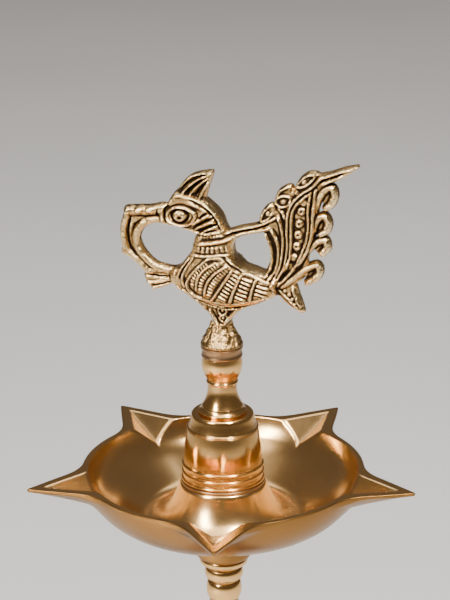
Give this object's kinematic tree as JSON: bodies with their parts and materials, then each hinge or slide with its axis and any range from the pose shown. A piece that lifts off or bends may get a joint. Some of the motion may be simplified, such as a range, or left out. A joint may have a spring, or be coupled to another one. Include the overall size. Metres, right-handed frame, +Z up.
{
  "type": "standing oil lamp",
  "caption": "Standing oil lamp: a stepped foot and turned stem carry an open pan with wick spouts, a bell-shaped column and a cast bird; its sections unscrew.",
  "frame": {"origin": "centre of the foot's resting face, on the lamp's axis", "axes": "+Z up along the lamp's axis; one wick spout points to -Y; the bird's beak is towards -X and its tail towards +X"},
  "size_m": [0.1128, 0.1113, 0.3003],
  "materials": {
    "polished_brass": "polished, turned",
    "pan_brass": "polished inside, duller outside",
    "dark_brass": "darkened, satin",
    "antique_brass": "cast, dark in the hollows and bright on the ridges",
    "stud_brass": "machined thread"
  },
  "bodies": {
    "base": {"foot": "polished_brass", "foot_stud": "stud_brass"},
    "foot_ring_body": {"foot_ring": "polished_brass"},
    "lower_stem_body": {"lower_stem": "polished_brass", "stem_stud": "stud_brass"},
    "stem_ring_body": {"stem_ring": "polished_brass"},
    "upper_stem_body": {"upper_stem": "polished_brass", "stem_top_stud": "stud_brass"},
    "pan_ring_body": {"pan_ring": "polished_brass"},
    "pan_body": {"oil_pan": "pan_brass", "pan_stud": "stud_brass"},
    "washer_body": {"bell_washer": "dark_brass"},
    "column_body": {"bell": "polished_brass", "neck_ring": "polished_brass", "neck_stud": "stud_brass", "neck": "polished_brass", "bird_stud": "stud_brass"},
    "collar_body": {"bird_collar": "dark_brass"},
    "bird_body": {"bird_finial": "antique_brass"}
  },
  "joints": [
    {"name": "lower_stem_unscrew", "type": "hinge", "parent": "base", "child": "foot_ring_body", "pos_m": [0, 0, 0.044], "axis": [0, 0, 1], "range_deg": [0, 2161]},
    {"name": "lower_stem_rise", "type": "slide", "parent": "foot_ring_body", "child": "lower_stem_body", "axis": [0, 0, 1], "range_m": [0, 0.009]},
    {"name": "upper_stem_unscrew", "type": "hinge", "parent": "lower_stem_body", "child": "stem_ring_body", "pos_m": [0, 0, 0.11], "axis": [0, 0, 1], "range_deg": [0, 2161]},
    {"name": "upper_stem_rise", "type": "slide", "parent": "stem_ring_body", "child": "upper_stem_body", "axis": [0, 0, 1], "range_m": [0, 0.009]},
    {"name": "pan_unscrew", "type": "hinge", "parent": "upper_stem_body", "child": "pan_ring_body", "pos_m": [0, 0, 0.1736], "axis": [0, 0, 1], "range_deg": [0, 2161]},
    {"name": "pan_rise", "type": "slide", "parent": "pan_ring_body", "child": "pan_body", "axis": [0, 0, 1], "range_m": [0, 0.009]},
    {"name": "bell_unscrew", "type": "hinge", "parent": "pan_body", "child": "washer_body", "pos_m": [0, 0, 0.2008], "axis": [0, 0, 1], "range_deg": [0, 2161]},
    {"name": "bell_rise", "type": "slide", "parent": "washer_body", "child": "column_body", "axis": [0, 0, 1], "range_m": [0, 0.009]},
    {"name": "bird_unscrew", "type": "hinge", "parent": "column_body", "child": "collar_body", "pos_m": [0, 0, 0.2402], "axis": [0, 0, 1], "range_deg": [0, 2161]},
    {"name": "bird_rise", "type": "slide", "parent": "collar_body", "child": "bird_body", "axis": [0, 0, 1], "range_m": [0, 0.006]}
  ],
  "couplings": [
    {"joint": "lower_stem_unscrew", "follows": "lower_stem_rise", "rad_per_m": 4188.8},
    {"joint": "upper_stem_unscrew", "follows": "upper_stem_rise", "rad_per_m": 4188.8},
    {"joint": "pan_unscrew", "follows": "pan_rise", "rad_per_m": 4188.8},
    {"joint": "bell_unscrew", "follows": "bell_rise", "rad_per_m": 4188.8},
    {"joint": "bird_unscrew", "follows": "bird_rise", "rad_per_m": 6283.2}
  ]
}
